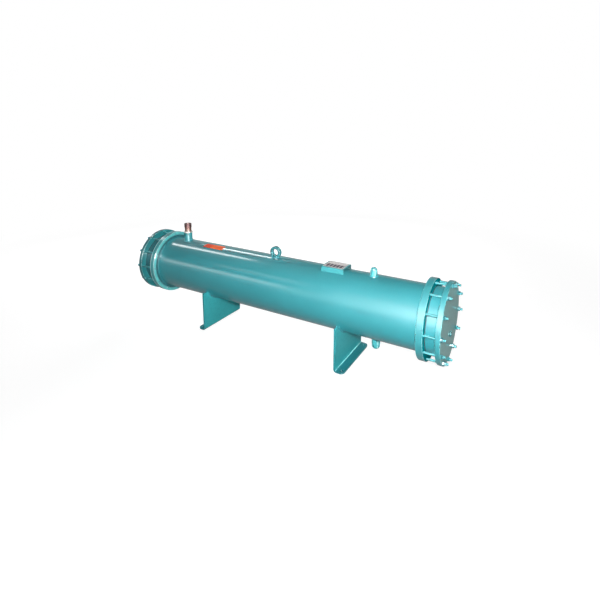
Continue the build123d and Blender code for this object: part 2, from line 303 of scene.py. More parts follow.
def coat_colour(tree, place, shades, edge, face, corner_shade, both_faces, edge_reach):
    """Nodes for the colour of the coat, its share of end face and its drift between the shades."""
    light, dark = shades
    face = face or light
    where = add_node(tree, "SeparateXYZ", {0: place})
    normal = add_node(tree, "NewGeometry").outputs["Normal"]
    facing = add_node(tree, "SeparateXYZ", {0: normal})
    drift = add_node(tree, "TexNoise", {"Vector": place, "Scale": 1 / PATCH_SIZE, "Detail": 3.0})
    specks = add_node(tree, "TexNoise", {"Vector": place, "Scale": 1 / SPECK_SIZE, "Detail": 4.0})
    mottle = add_node(tree, "Mix", {0: drift, 6: dark, 7: light}, data_type="RGBA")

    # End faces near the shell turn to the corner_shade tone, which is painted shade.
    from_axis = add_node(tree, "Mapping",
                         {"Vector": place, "Location": (0, 0, -AXIS_Z), "Scale": (0, 1, 1)})
    radius = add_node(tree, "VectorMath", {0: from_axis}, operation="LENGTH")
    open_part = add_node(tree, "MapRange",
                         {"Value": radius, "From Min": CORNER_SHADE_REACH[0], "From Max": CORNER_SHADE_REACH[1]})
    flat = add_node(tree, "Mix", {0: open_part, 6: corner_shade or face, 7: face}, data_type="RGBA")
    # End faces take the face tone, which on the saddles, the left tube sheet and the right cover is painted
    # light.
    endwise = add_node(tree, "Math", {0: facing.outputs["X"]}, operation="ABSOLUTE")
    end_face = add_node(tree, "MapRange",
                        {"Value": endwise if both_faces else facing.outputs["X"],
                         "From Min": END_FACE_FROM, "From Max": END_FACE_FULL})
    smudges = add_node(tree, "MapRange",
                       {"Value": specks, "From Min": 0.45, "From Max": 0.75, "To Max": SMUDGE_SHARE})
    soiled = add_node(tree, "Mix", {0: smudges, 6: flat, 7: dark}, data_type="RGBA")
    body = add_node(tree, "Mix", {0: end_face, 6: mottle, 7: soiled}, data_type="RGBA")

    # Chamfers turn to the edge tone, a painted highlight broken up by chipped wear.
    slant = add_node(tree, "Math", {0: endwise, 1: CHAMFER_SLANT, 2: edge_reach}, operation="COMPARE")
    chips = add_node(tree, "MapRange", {"Value": specks, "From Min": 0.25, "From Max": 0.55})
    worn = add_node(tree, "Math", {0: slant, 1: chips}, operation="MULTIPLY")
    edge_wear_and_highlight = add_node(tree, "Mix", {0: worn, 6: body, 7: edge or light}, data_type="RGBA")

    upward = add_node(tree, "MapRange",
                      {"Value": facing.outputs["Z"], "From Min": 0.55, "From Max": 1.0, "To Max": DUST_SHARE})
    film = add_node(tree, "Math", {0: upward, 1: specks}, operation="MULTIPLY")
    dusty = add_node(tree, "Mix", {0: film, 6: edge_wear_and_highlight, 7: DUST_TONE}, data_type="RGBA")
    # Painted shade: near the floor the colour turns dark teal.
    low_shade = add_node(tree, "MapRange",
                     {"Value": where.outputs["Z"],
                      "From Min": LOW_SHADE_TOP, "From Max": LOW_SHADE_BOTTOM, "To Max": LOW_SHADE_SHARE})
    colour = add_node(tree, "Mix", {0: low_shade, 6: dusty, 7: LOW_SHADE_TONE}, data_type="RGBA")
    return colour, end_face, drift


# %% [markdown]
# The gloss comes in two layers. Under the skin the pigment scatters, which is the rough broad sheen of
# the base, and the clear resin on top is a coat layer with sharp reflections. Slow waves of the rolled
# metal bend those reflections and a fine orange peel breaks their edges, both as bump, because they
# are well under a millimetre deep. A part with a dull end face fades both layers there.

# %% Enamel recipe
PEEL_SIZE, PEEL_DEPTH = 3.5 * MM, 0.15 * MM
ENAMEL_IOR = 1.45
BASE_ROUGHNESS = (0.46, 0.56)
SKIN_ROUGHNESS = 0.13


def enamel(part, shades, edge=None, face=None, corner_shade=None, both_faces=True, edge_reach=0.14,
           face_gloss=1.0, wave=(60, 0.5), sheen=0.5, coat=0.6):
    """Teal enamel for one kind of part between two shades; edge (painted highlight with wear), face and
    corner_shade (painted shade) are tones of places.

    wave is the length and depth of the metal's waves in mm; face_gloss is what an end face keeps
    of sheen, the gloss of the base, and of coat, the weight of the skin.
    """
    material, tree, place = new_material("teal alkyd enamel on " + part)
    colour, end_face, drift = coat_colour(tree, place, shades, edge, face, corner_shade, both_faces, edge_reach)
    wave_size, wave_depth = wave[0] * MM, wave[1] * MM
    waves = add_node(tree, "TexNoise", {"Vector": place, "Scale": 1 / wave_size, "Detail": 1.0})
    slow = add_node(tree, "Bump", {"Height": waves, "Strength": 0.35, "Distance": wave_depth})
    peel = add_node(tree, "TexNoise", {"Vector": place, "Scale": 1 / PEEL_SIZE, "Detail": 1.0})
    fine = add_node(tree, "Bump",
                    {"Height": peel, "Strength": 0.10, "Distance": PEEL_DEPTH, "Normal": slow})
    rough = add_node(tree, "MapRange",
                     {"Value": drift, "To Min": BASE_ROUGHNESS[0], "To Max": BASE_ROUGHNESS[1]})
    paint = add_node(tree, "BsdfPrincipled",
                     {"Base Color": colour, "Roughness": rough, "IOR": ENAMEL_IOR,
                      "Specular IOR Level": sheen, "Coat Weight": coat, "Coat Roughness": SKIN_ROUGHNESS,
                      "Coat IOR": ENAMEL_IOR, "Normal": fine})
    if face_gloss < 1:
        for socket, full in (("Specular IOR Level", sheen), ("Coat Weight", coat)):
            duller = add_node(tree, "MapRange",
                              {"Value": end_face, "To Min": full, "To Max": full * face_gloss})
            tree.links.new(duller.outputs[0], paint.inputs[socket])
    return finish_material(material, paint)


# %% [markdown]
# Each kind of part now takes its own tones. The rolled pipe is the plain teal. Most other parts get a
# pair of shades near the teal, lighter or darker than it, and on several parts these tones paint in
# the light and the shade that the part gets: the lighter ones are painted light and the darker ones
# painted shade. Lighter end faces are painted light, the pale bends are painted highlight, the dark
# corner is painted shade, and the dull right face is set where that part shows it.

# %% Enamels
TEAL = ("2CA5B0", "2496A0")
pipe_enamel = enamel("rolled pipe", TEAL, face="28A0AA", wave=(90, 0.6), coat=0.9)
# Painted shade: the left barrel is darker than the teal, for the shade between the left plates.
shaded_barrel_enamel = enamel("left barrel", ("1C7A84", "186E78"), coat=0.35)
# Painted shade: the shell seams are darker than the teal, for the shade in the corner where they lie.
shaded_seam_enamel = enamel("weld bead", ("1F848D", "1A7780"), coat=0.3)
# Painted light on the saddles: their web faces are lighter than the teal, and the bend into the foot gets a
# pale painted highlight.
saddle_enamel = enamel("folded plate", TEAL, edge="A4FCFF", face="3CB8BE",
                       edge_reach=0.26, sheen=0.25, coat=0.2)
# Painted light on the left tube sheet: its shades and end faces are lighter than the teal and its chamfers
# carry a painted highlight, while the corner beside the shell is painted shade.
lit_left_sheet_enamel = enamel("left tube sheet", ("52BCC2", "48B0B6"), edge="C0F6F6",
                           face="6CDCDC", corner_shade="125E67")
right_sheet_enamel = enamel("right tube sheet", ("2EA5AE", "2698A1"), edge="86DCE0",
                            face="0A9AA4", both_faces=False, face_gloss=0.0, sheen=0.6, coat=0.9)
# Painted shade: the left cover is darker than the teal.
shaded_left_cover_enamel = enamel("left cover", ("228C94", "1D7F87"), edge="86DCE0", face="239AA0")
# Painted light: the right cover's end faces are lighter than its rim.
right_cover_enamel = enamel("right cover", ("2EA5AE", "2698A1"), edge="86DCE0",
                            face="62D6D2", sheen=0.6, coat=0.85)
fitting_enamel = enamel("fittings", ("38ACB4", "30A0A8"), edge="A8E8EA", face="3CB0B8",
                        wave=(60, 0.2), coat=0.9)
# Painted light: the liquid cap and its boss are lighter than the teal.
lit_cap_enamel = enamel("liquid cap", ("4CC2C8", "42B4BA"), edge="A8E8EA", face="3CB0B8",
                    wave=(60, 0.2), sheen=0.3, coat=0.3)
# Painted shade: the nuts and the drain plug are darker than the teal.
shaded_nut_enamel = enamel("nuts", ("1C7E86", "17717A"), edge="7CD0D4", face="2C949C",
                    wave=(60, 0.2), sheen=0.4, coat=0.25)
# Painted shade: the lifting eye is darker than the teal.
shaded_eye_enamel = enamel("lifting eye", ("2A8A92", "237E86"), edge="7CD0D4", wave=(60, 0.2), coat=0.9)

# %% [markdown]
# ## Painted highlight on the left tube sheet's rim
# The far edge of the left tube sheet's rim, on the side of the channel, shows a bright line from the
# front, which is a painted highlight. It is a pale tone on the last few millimetres of the rim, put
# between the enamel's colour and its shader.

# %% Painted rim highlight
RIM_HIGHLIGHT_WIDTH, RIM_HIGHLIGHT_SOLID = 7 * MM, 0.7
RIM_HIGHLIGHT_TONE = "B4F4FA"
RIM_SLANT = 0.5
tree = lit_left_sheet_enamel.node_tree
place = add_node(tree, "TexCoord").outputs["Object"]
where = add_node(tree, "SeparateXYZ", {0: place})
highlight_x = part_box("left_tube_sheet")[0].x
# Painted highlight: a pale band on the rim's far edge, only where the surface faces outwards.
rim_highlight = add_node(tree, "MapRange",
               {"Value": where.outputs["X"],
                "From Min": highlight_x + RIM_HIGHLIGHT_WIDTH, "From Max": highlight_x + RIM_HIGHLIGHT_SOLID * RIM_HIGHLIGHT_WIDTH})
normal = add_node(tree, "NewGeometry").outputs["Normal"]
facing = add_node(tree, "SeparateXYZ", {0: normal})
endwise = add_node(tree, "Math", {0: facing.outputs["X"]}, operation="ABSOLUTE")
rim = add_node(tree, "Math", {0: endwise, 1: RIM_SLANT}, operation="LESS_THAN")
pale = add_node(tree, "Math", {0: rim_highlight, 1: rim}, operation="MULTIPLY")
paint = next(node for node in tree.nodes if node.type == "BSDF_PRINCIPLED")
under = paint.inputs["Base Color"].links[0].from_socket
rim_highlighted = add_node(tree, "Mix", {0: pale, 6: under, 7: RIM_HIGHLIGHT_TONE}, data_type="RGBA")
tree.links.new(rim_highlighted.outputs[2], paint.inputs["Base Color"])
print("lip from", round(highlight_x, 4), "m")

# %% [markdown]
# ## Copper tube
# The gas stub is drawn copper tube with a belled mouth. The torch has left a maroon oxide on the bell,
# while the lower part was wiped with acid after brazing and is a pale pink metal. The tint follows the
# height. The bore takes a darker tone, which is torch oxide and painted shade inside the tube, and it
# is told from the outside by the way its surface faces.
# The condenser tubes inside are the same copper, far from any torch.

# %% Copper
WIPED, ROSE, MAROON, OXIDE, BORE_SHADE_TONE = "80746E", "7E6C66", "7A5E58", "5A4646", "6A5856"
TINT_CLOUD, TINT_DRIFT, TINT_MARGIN = 12 * MM, 14 * MM, 4 * MM
DRAW_LINE = 0.8 * MM
socket_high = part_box("gas_inlet_socket")[1]
stub_low, stub_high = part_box("gas_inlet_stub")
gas_x = (stub_low.x + stub_high.x) / 2
material, tree, place = new_material("drawn copper tube with torch tint")
height = add_node(tree, "SeparateXYZ", {0: place})
cloud = add_node(tree, "TexNoise", {"Vector": place, "Scale": 1 / TINT_CLOUD, "Detail": 4.0})
reach = add_node(tree, "Math",
                 {0: cloud, 1: TINT_DRIFT, 2: height.outputs["Z"]}, operation="MULTIPLY_ADD")
tint = add_node(tree, "MapRange",
                {"Value": reach,
                 "From Min": socket_high.z + TINT_MARGIN, "From Max": stub_high.z - TINT_MARGIN})
bands = add_node(tree, "ValToRGB", {0: tint})
stops = bands.color_ramp.elements
stops[0].color, stops[1].color = linear(WIPED), linear(OXIDE)
stops.new(0.3).color = linear(ROSE)
stops.new(0.7).color = linear(MAROON)
from_centre = add_node(tree, "Mapping", {"Vector": place, "Location": (-gas_x, 0, 0), "Scale": (1, 1, 0)})
outward = add_node(tree, "VectorMath",
                   {0: from_centre, 1: add_node(tree, "NewGeometry").outputs["Normal"]},
                   operation="DOT_PRODUCT")
# Painted shade inside the tube: faces turned to the axis take the darker bore tone.
bore = add_node(tree, "Math", {0: outward, 1: 0.0}, operation="LESS_THAN")
colour = add_node(tree, "Mix", {0: bore, 6: bands, 7: BORE_SHADE_TONE}, data_type="RGBA")
lines = streaks(tree, place, (1, 1, 0.04), DRAW_LINE)
drawn = add_node(tree, "Bump", {"Height": lines, "Strength": 0.15, "Distance": 0.1 * MM})
dull = add_node(tree, "MapRange", {"Value": cloud, "To Min": 0.40, "To Max": 0.60})
metal = add_node(tree, "BsdfPrincipled",
                 {"Base Color": colour, "Metallic": 1.0, "Roughness": dull, "Normal": drawn})
copper = finish_material(material, metal)

# %% [markdown]
# ## Gasket sheet
# Each joint of the end channels is sealed with compressed fibre sheet, 3 mm thick and dark grey. It
# was cut before painting and the spray caught its edge in patches, so the edge is part grey fibre
# and part teal. A fine noise gives the fibres and a broad one says where the spray stuck. That is
# enough for an edge of 3 mm, which no view brings close.

# %% Gasket sheet
FIBRE_SIZE, FIBRE_TONES = 1.2 * MM, ("14282B", "1E3A3D")
OVERSPRAY_SIZE, OVERSPRAY_TONE = 18 * MM, "145057"
material, tree, place = new_material("compressed fibre gasket with overspray")
fibres = add_node(tree, "TexNoise", {"Vector": place, "Scale": 1 / FIBRE_SIZE, "Detail": 4.0})
spray = add_node(tree, "TexNoise", {"Vector": place, "Scale": 1 / OVERSPRAY_SIZE, "Detail": 3.0})
caught = add_node(tree, "MapRange", {"Value": spray, "From Min": 0.42, "From Max": 0.58})
grey = add_node(tree, "Mix", {0: fibres, 6: FIBRE_TONES[0], 7: FIBRE_TONES[1]}, data_type="RGBA")
edge = add_node(tree, "Mix", {0: caught, 6: grey, 7: OVERSPRAY_TONE}, data_type="RGBA")
nap = add_node(tree, "Bump", {"Height": fibres, "Strength": 0.4, "Distance": 0.2 * MM})
sheet = add_node(tree, "BsdfPrincipled", {"Base Color": edge, "Roughness": 0.85, "Normal": nap})
gasket_sheet = finish_material(material, sheet)

# %% [markdown]
# ## Bare steel
# The pass partition inside the channel and the cut threads of the water sockets are not painted:
# they are machined mild steel with fine tool lines and a light bloom of rust. The lines are a bump,
# and the rust is a broad noise that takes away the metal's shine as well as its colour, because a
# brown tint alone would look like a stain under lacquer. The nameplate's rivets share this finish.

# %% Bare steel
STEEL_TONE, RUST_TONE = "9A9C9B", "7A4E35"
RUST_BLOOM, TOOL_LINE = 25 * MM, 0.7 * MM
material, tree, place = new_material("machined mild steel with light rust")
bloom = add_node(tree, "TexNoise", {"Vector": place, "Scale": 1 / RUST_BLOOM, "Detail": 5.0})
rusty = add_node(tree, "MapRange", {"Value": bloom, "From Min": 0.52, "From Max": 0.70, "To Max": 0.6})
colour = add_node(tree, "Mix", {0: rusty, 6: STEEL_TONE, 7: RUST_TONE}, data_type="RGBA")
dull = add_node(tree, "MapRange", {"Value": rusty, "To Min": 0.34, "To Max": 0.75})
shine = add_node(tree, "MapRange", {"Value": rusty, "To Min": 1.0, "To Max": 0.2})
tool = streaks(tree, place, (1, 0.05, 1), TOOL_LINE)
lines = add_node(tree, "Bump", {"Height": tool, "Strength": 0.2, "Distance": 0.1 * MM})
metal = add_node(tree, "BsdfPrincipled",
                 {"Base Color": colour, "Metallic": shine, "Roughness": dull, "Normal": lines})
bare_steel = finish_material(material, metal)

# %% [markdown]
# ## Printed nameplate
# The plate is thin aluminium, printed with a row of dark panels and a ruled field, all blank. The
# print lies on the plate's own X and Y, so it is drawn from Object coordinates centred on the plate:
# a few steps on each axis make a border, the panels and the rows.

# %% Nameplate print
BORDER = 5 * MM
PANEL_EDGE = 2 * MM
PANEL_STEP, PANEL_HALF = 8 * MM, 6.4 * MM
ROW_STEP, RULE_HALF = 5 * MM, 0.8 * MM
BRUSH_LINE = 0.6 * MM
PLATE_TONE, FIELD_TONE, RULE_TONE, PANEL_TONE = "DADADA", "F4F0EE", "A08C94", "57485C"
plate_low, plate_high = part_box("nameplate")
PLATE_CENTRE = (plate_low + plate_high) / 2
PLATE_HALF = ((plate_high.x - plate_low.x) / 2, (plate_high.y - plate_low.y) / 2)
material, tree, place = new_material("printed anodised aluminium plate")
on_plate = add_node(tree, "Mapping", {"Vector": place, "Location": (-PLATE_CENTRE.x, -PLATE_CENTRE.y, 0)})
axes = add_node(tree, "SeparateXYZ", {0: on_plate})
side_x = add_node(tree, "Math", {0: axes.outputs["X"]}, operation="ABSOLUTE")
side_y = add_node(tree, "Math", {0: axes.outputs["Y"]}, operation="ABSOLUTE")
in_x = add_node(tree, "Math", {0: side_x, 1: PLATE_HALF[0] - BORDER}, operation="LESS_THAN")
in_y = add_node(tree, "Math", {0: side_y, 1: PLATE_HALF[1] - BORDER}, operation="LESS_THAN")
inside = add_node(tree, "Math", {0: in_x, 1: in_y}, operation="MULTIPLY")
near = add_node(tree, "Math", {0: axes.outputs["Y"], 1: PANEL_EDGE}, operation="LESS_THAN")
step = add_node(tree, "Math", {0: axes.outputs["X"], 1: PANEL_STEP}, operation="PINGPONG")
panel = add_node(tree, "Math", {0: step, 1: PANEL_HALF}, operation="LESS_THAN")
heading = add_node(tree, "Math", {0: near, 1: panel}, operation="MULTIPLY")
row = add_node(tree, "Math", {0: axes.outputs["Y"], 1: ROW_STEP}, operation="PINGPONG")
rule = add_node(tree, "Math", {0: row, 1: RULE_HALF}, operation="LESS_THAN")
field = add_node(tree, "Mix", {0: rule, 6: FIELD_TONE, 7: RULE_TONE}, data_type="RGBA")
print_area = add_node(tree, "Mix", {0: heading, 6: field, 7: PANEL_TONE}, data_type="RGBA")
face = add_node(tree, "Mix", {0: inside, 6: PLATE_TONE, 7: print_area}, data_type="RGBA")
bare = add_node(tree, "MapRange", {"Value": inside, "To Min": 0.7, "To Max": 0.15})
grain = streaks(tree, place, (0.03, 1, 1), BRUSH_LINE)
satin = add_node(tree, "MapRange", {"Value": grain, "To Min": 0.30, "To Max": 0.48})
plate = add_node(tree, "BsdfPrincipled", {"Base Color": face, "Metallic": bare, "Roughness": satin})
plate_print = finish_material(material, plate)
print("plate", [round(2000 * half) for half in PLATE_HALF], "mm, print made")

# %% [markdown]
# ## Enamel on the nameplate stand
# The stand is a small folded channel. Its inside is a dark tone, which is painted shade under the top
# sheet, while its outside is as bright as the shell. Inside is whatever lies within the two flanges and
# below the top sheet, which two comparisons on Object coordinates can tell.

# %% Stand enamel
SHEET_WALL = 2.6 * MM
STAND_PATCH = 30 * MM
STAND_TONES, STAND_INSIDE_SHADE = ("36A2A9", "42B0B7"), "1F5052"
stand_low, stand_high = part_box("nameplate_bracket")
material, tree, place = new_material("teal alkyd enamel on folded sheet")
axes = add_node(tree, "SeparateXYZ", {0: place})
side_y = add_node(tree, "Math", {0: axes.outputs["Y"]}, operation="ABSOLUTE")
between = add_node(tree, "Math",
                   {0: side_y, 1: (stand_high.y - stand_low.y) / 2 - SHEET_WALL / 2},
                   operation="LESS_THAN")
below = add_node(tree, "Math",
                 {0: axes.outputs["Z"], 1: stand_high.z - SHEET_WALL / 2}, operation="LESS_THAN")
under = add_node(tree, "Math", {0: between, 1: below}, operation="MULTIPLY")
shade = add_node(tree, "TexNoise", {"Vector": place, "Scale": 1 / STAND_PATCH, "Detail": 3.0})
coat = add_node(tree, "Mix", {0: shade, 6: STAND_TONES[0], 7: STAND_TONES[1]}, data_type="RGBA")
# Painted shade: inside the stand the colour turns dark.
colour = add_node(tree, "Mix", {0: under, 6: coat, 7: STAND_INSIDE_SHADE}, data_type="RGBA")
gloss = add_node(tree, "MapRange", {"Value": shade, "To Min": 0.44, "To Max": 0.54})
paint = add_node(tree, "BsdfPrincipled",
                 {"Base Color": colour, "Roughness": gloss, "IOR": ENAMEL_IOR,
                  "Coat Weight": 0.5, "Coat Roughness": 0.10, "Coat IOR": ENAMEL_IOR})
stand_enamel = finish_material(material, paint)

# %% [markdown]
# ## Dress the CAD nodes
# The solids keep their shapes. Each gets the finish of its record slot, and plates, bolting and the
# stand get their own kind of enamel in place of the one on rolled pipe.

# %% Dress the CAD nodes
special_paint = {
    "left_tube_sheet": lit_left_sheet_enamel, "right_tube_sheet": right_sheet_enamel,
    "left_channel_barrel": shaded_barrel_enamel, "left_cover": shaded_left_cover_enamel, "right_cover": right_cover_enamel,
    "left_saddle": saddle_enamel, "right_saddle": saddle_enamel, "nameplate_bracket": stand_enamel,
    "left_nuts": shaded_nut_enamel, "right_nuts": shaded_nut_enamel,
    "left_studs": fitting_enamel, "right_studs": fitting_enamel,
    "relief_cap": fitting_enamel, "relief_boss": fitting_enamel, "lifting_eye": shaded_eye_enamel,
    "liquid_outlet_cap": lit_cap_enamel, "liquid_outlet_boss": lit_cap_enamel, "gas_inlet_socket": fitting_enamel}
finish_of_slot = {"copper_tube": copper, "gasket_sheet": gasket_sheet, "bare_steel": bare_steel,
                  "plate_face": plate_print}
slot_of_node = {part["node"]: part["material_slot"] for part in frame["record"]["subparts"]}
for name, node in frame["nodes"].items():
    paint = special_paint.get(name, pipe_enamel)
    node.data.materials.clear()
    node.data.materials.append(finish_of_slot.get(slot_of_node[name], paint))
print("dressed", len(frame["nodes"]), "nodes")

# %% [markdown]
# ## Tools for modelling by hand
# An operator works on all that is selected, so each piece starts from an empty selection. These few
# helpers pick one piece, name a new primitive, open it for editing, stretch it, copy it, ripple it as a
# weld and put the finished piece on the vessel. What many pieces share is written once here.

# %% Modelling helpers
FACING_LIMIT = 0.9


def only(piece):
    """Make one piece the whole selection and the active object."""
    bpy.ops.object.select_all(action="DESELECT")
    piece.select_set(True)
    bpy.context.view_layer.objects.active = piece


def name_new(name):
    """Name the primitive that was just added and put its place into its mesh."""
    piece = bpy.context.object
    piece.name = piece.data.name = name
    only(piece)
    bpy.ops.object.transform_apply(location=True, rotation=True, scale=True)
    return piece


def open_all(piece):
    """Open a piece in edit mode with everything selected."""
    only(piece)
    bpy.ops.object.mode_set(mode="EDIT")
    bpy.ops.mesh.select_all(action="SELECT")


def settle(piece, material, sharp_deg=40):
    """Smooth a finished piece, dress it and let it ride on the vessel."""
    only(piece)
    bpy.ops.object.shade_smooth_by_angle(angle=radians(sharp_deg))
    piece.data.materials.clear()
    piece.data.materials.append(material)
    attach(piece, "root")
    print(piece.name, len(piece.data.polygons), "faces")


def torus(name, major, minor, place, turn=(0, 0, 0), segments=64, sides=12):
    """A ring to start a bead or a washer from."""
    bpy.ops.object.select_all(action="DESELECT")
    bpy.ops.mesh.primitive_torus_add(major_segments=segments, minor_segments=sides, major_radius=major,
                                     minor_radius=minor, location=place, rotation=turn)
    return name_new(name)


def stretch(piece, factors, centre):
    """Scale a whole piece about a centre, in its mesh."""
    open_all(piece)
    bpy.ops.transform.resize(value=factors, center_override=centre)
    bpy.ops.object.mode_set(mode="OBJECT")


def join_copies(pattern, places, name):
    """Copy a pattern to every place, each copy with its own mesh, and join the copies to one piece."""
    copies = []
    for place in places:
        copy = pattern.copy()
        copy.data = pattern.data.copy()
        copy.location = place
        scene.collection.objects.link(copy)
        copies.append(copy)
    bpy.data.objects.remove(pattern)
    only(copies[0])
    for copy in copies[1:]:
        copy.select_set(True)
    bpy.ops.object.join()
    return name_new(name)


def ripple(piece, along, pitch, depth):
    """Press a hand welder's ripples into a bead; along gives the distance run at a point."""
    normals = [vertex.normal.copy() for vertex in piece.data.vertices]
    for vertex, normal in zip(piece.data.vertices, normals):
        swell = abs(sin(pi * along(vertex.co) / pitch)) - 0.5
        vertex.co += normal * depth * swell
    piece.data.update()


def select_facing(piece, axis, sign):
    """In edit mode, keep only the faces that look along one axis."""
    bpy.ops.object.mode_set(mode="OBJECT")
    for part in (piece.data.vertices, piece.data.edges):
        part.foreach_set("select", [False] * len(part))
    for face in piece.data.polygons:
        face.select = face.normal[axis] * sign > FACING_LIMIT
    bpy.ops.object.mode_set(mode="EDIT")
    bpy.ops.mesh.select_mode(type="FACE")


# %% [markdown]
# ## Welds round the shell axis
# The shell is welded to both tube sheets all the way round, and each saddle web is welded along its
# cope on both faces. A bead is a round section carried round the shell axis, which is what spin does:
# a circle is added where the bead starts, spun about X, and its ends are closed. A hand weld freezes
# in small waves, so the surface is then pressed in and out along the bead.

# %% Bead spun about the shell axis
RIPPLE_PITCH = 6 * MM
RIPPLE_DEPTH = 0.7 * MM
RINGS_PER_RIPPLE = 4


def axis_bead(name, x, radius, section, start_deg, sweep_deg, paint):
    """A rippled bead of the given section radius, from start_deg past the crown towards the back."""
    start = radians(start_deg)
    ripples = round(radians(sweep_deg) * radius / RIPPLE_PITCH)
    bpy.ops.object.select_all(action="DESELECT")
    bpy.ops.mesh.primitive_circle_add(vertices=10, radius=section, fill_type="NOTHING",
                                      location=(x, radius * sin(start), AXIS_Z + radius * cos(start)),
                                      rotation=(pi / 2 - start, 0, 0))
    piece = name_new(name)
    open_all(piece)
    bpy.ops.mesh.spin(steps=ripples * RINGS_PER_RIPPLE, angle=radians(sweep_deg),
                      center=(0, 0, AXIS_Z), axis=(1, 0, 0))
    bpy.ops.mesh.select_all(action="SELECT")
    bpy.ops.mesh.remove_doubles(threshold=1e-6)
    bpy.ops.mesh.fill_holes(sides=0)
    bpy.ops.mesh.normals_make_consistent(inside=False)
    bpy.ops.object.mode_set(mode="OBJECT")
    pitch = radians(sweep_deg) * radius / ripples

    def along(point):
        """Distance run along the bead; a ripple's crest trails towards the edges of the bead."""
        run = (atan2(point.y, point.z - AXIS_Z) - start) * radius
        return run + ((point.x - x) / section) ** 2 * pitch / 2

    ripple(piece, along, pitch, RIPPLE_DEPTH)
    settle(piece, paint)


# %% Shell seams
SEAM_SECTION = 3.4 * MM
BEAD_RISE = 1 * MM
sheet_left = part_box("left_tube_sheet")[1].x
sheet_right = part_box("right_tube_sheet")[0].x
for name, x in (("left_shell_seam", sheet_left + BEAD_RISE), ("right_shell_seam", sheet_right - BEAD_RISE)):
    axis_bead(name, x, SHELL_R + BEAD_RISE, SEAM_SECTION, 0, 360, shaded_seam_enamel)

# %% Saddle welds
SADDLE_SECTION = 4 * MM
SADDLE_PLATE = 8 * MM
COPE_HALF_DEG = 56
for side in ("left", "right"):
    low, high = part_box(side + "_saddle")
    foot_outwards = -1 if side == "left" else 1
    web = low.x if foot_outwards > 0 else high.x
    back = web + foot_outwards * SADDLE_PLATE
    for face, x in (("inner", web), ("outer", back)):
        axis_bead(f"{side}_saddle_{face}_weld", x, SHELL_R + BEAD_RISE, SADDLE_SECTION,
                  180 - COPE_HALF_DEG, 2 * COPE_HALF_DEG, pipe_enamel)

# %% [markdown]
# ## Welds round the fittings
# The gas socket, both bosses and the lifting eye stand on the round of the shell, so their beads rise
# and fall as they go round. A torus gives the ring, and each of its points is then dropped by as much
# as the shell falls away below it. No operator lays a ring on a cylinder, so that step is in code.

# %% Fitting welds
FITTING_SECTION = 3.2 * MM
FITTING_RIPPLE = 0.5 * MM
FITTING_STAND_OFF = 0.4 * FITTING_SECTION
EYE_COLLAR_R = 14 * MM


def fitting_bead(name, x, radius, side):
    """A rippled bead round an upright fitting; side is 1 on the crown and -1 below the shell."""
    ripples = round(2 * pi * radius / RIPPLE_PITCH)
    piece = torus(name, radius + FITTING_STAND_OFF, FITTING_SECTION,
                  (x, 0, AXIS_Z + side * SHELL_R), segments=ripples * RINGS_PER_RIPPLE)
    for vertex in piece.data.vertices:
        vertex.co.z -= side * (SHELL_R - sqrt(SHELL_R ** 2 - vertex.co.y ** 2))
    ripple(piece, lambda p: atan2(p.y, p.x - x) * radius, 2 * pi * radius / ripples, FITTING_RIPPLE)
    settle(piece, pipe_enamel)


for node, name, side in (("gas_inlet_socket", "gas_socket_weld", 1), ("relief_boss", "relief_boss_weld", 1),
                         ("liquid_outlet_boss", "liquid_boss_weld", -1)):
    low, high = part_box(node)
    fitting_bead(name, (low.x + high.x) / 2, (high.y - low.y) / 2, side)
low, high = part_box("lifting_eye")
fitting_bead("lifting_eye_weld", (low.x + high.x) / 2, EYE_COLLAR_R, 1)

# %% [markdown]
# ## Forged lifting eye
# The eye is a drop forging: a broad ring that runs into a round collar, with no sharp edge anywhere.
# The CAD solid is a narrower ring, so this piece stands in for it, on the same bore and the same outer
# circle. The section of the ring is a plane with its corners bevelled, spun once round the bore, and
# the collar is a low cylinder whose top is inset and drawn up to a cone under the ring.

# %% Lifting eye
EYE_WIDTH = 20 * MM
EYE_ROUND = 3.5 * MM
COLLAR_RISE = 4 * MM
COLLAR_CONE = 3.5 * MM
eye_mount = next(mount for mount in frame["record"]["mounts"] if mount["name"] == "lifting_eye")
bore_r = eye_mount["dims"]["r_mm"] * MM
low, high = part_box("lifting_eye")
ring_r = (high.x - low.x) / 2
eye_centre = Vector(((low.x + high.x) / 2, 0, high.z - ring_r))
section_centre = eye_centre + Vector((0, 0, (ring_r + bore_r) / 2))
bpy.ops.object.select_all(action="DESELECT")
bpy.ops.mesh.primitive_cylinder_add(vertices=48, radius=EYE_COLLAR_R, depth=2 * COLLAR_RISE,
                                    location=(eye_centre.x, 0, CROWN_Z))
collar = name_new("eye_collar")
open_all(collar)
select_facing(collar, 2, 1)
bpy.ops.mesh.inset(thickness=COLLAR_CONE)
bpy.ops.transform.translate(value=(0, 0, COLLAR_CONE))
bpy.ops.object.mode_set(mode="OBJECT")

bpy.ops.object.select_all(action="DESELECT")
bpy.ops.mesh.primitive_plane_add(size=1, location=section_centre, rotation=(0, pi / 2, 0))
piece = name_new("lifting_eye_forging")
stretch(piece, (1, EYE_WIDTH, ring_r - bore_r), section_centre)
open_all(piece)
bpy.ops.mesh.bevel(offset=EYE_ROUND, segments=5, affect="VERTICES")
bpy.ops.mesh.delete(type="ONLY_FACE")
bpy.ops.mesh.select_all(action="SELECT")
bpy.ops.mesh.spin(steps=72, angle=2 * pi, center=eye_centre, axis=(0, 1, 0))
bpy.ops.mesh.select_all(action="SELECT")
bpy.ops.mesh.remove_doubles(threshold=1e-6)
bpy.ops.mesh.normals_make_consistent(inside=False)
bpy.ops.object.mode_set(mode="OBJECT")
collar.select_set(True)
bpy.ops.object.join()
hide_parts("lifting_eye")
settle(piece, shaded_eye_enamel)

